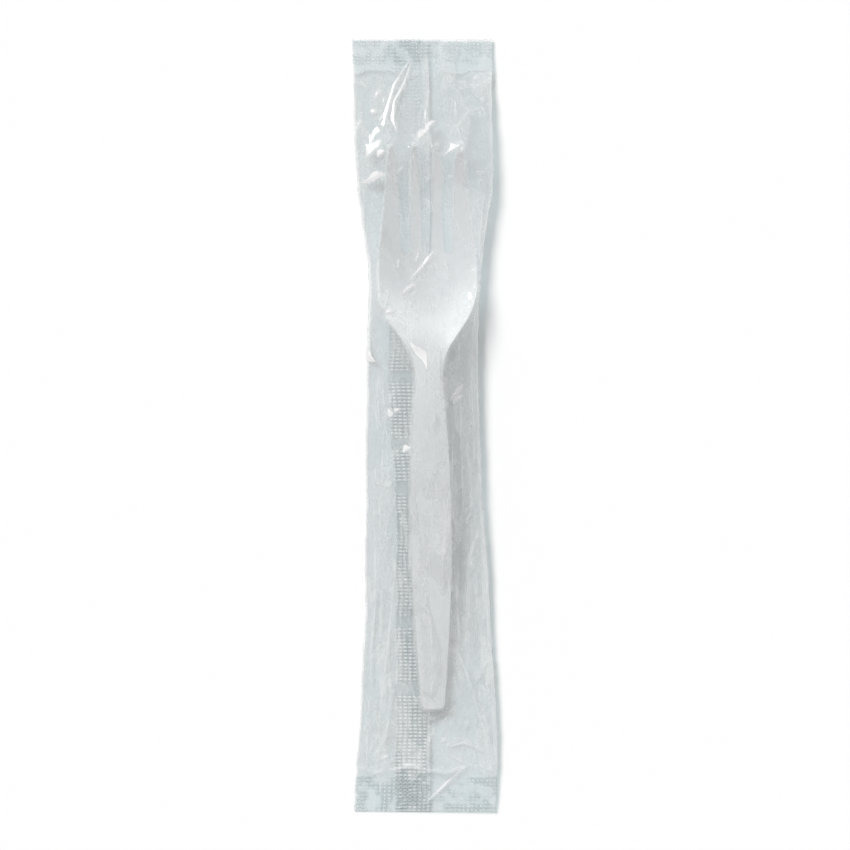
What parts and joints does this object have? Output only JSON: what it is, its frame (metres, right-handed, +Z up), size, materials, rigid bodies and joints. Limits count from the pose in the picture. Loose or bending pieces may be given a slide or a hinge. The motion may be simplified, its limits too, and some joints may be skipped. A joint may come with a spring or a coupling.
{
  "type": "plastic cutlery pack",
  "caption": "White moulded plastic fork sealed in a crinkled clear film sleeve, with crimped end seals and a folded lengthwise seam underneath.",
  "frame": {"origin": "centre of the bounding box's base: under the middle of the pack, on the surface it lies on", "axes": "+Y along the pack towards the tines, +Z up away from the lengthwise seam, +X across the pack"},
  "size_m": [0.041, 0.2168, 0.0142],
  "materials": {
    "fork_plastic": "white moulded polypropylene, satin, slightly translucent",
    "clear_film": "clear oriented polypropylene film, glossy, crinkled, crimped at the seals"
  },
  "bodies": {
    "root": {"fork": "fork_plastic", "film_wrapper": "clear_film"}
  },
  "joints": []
}
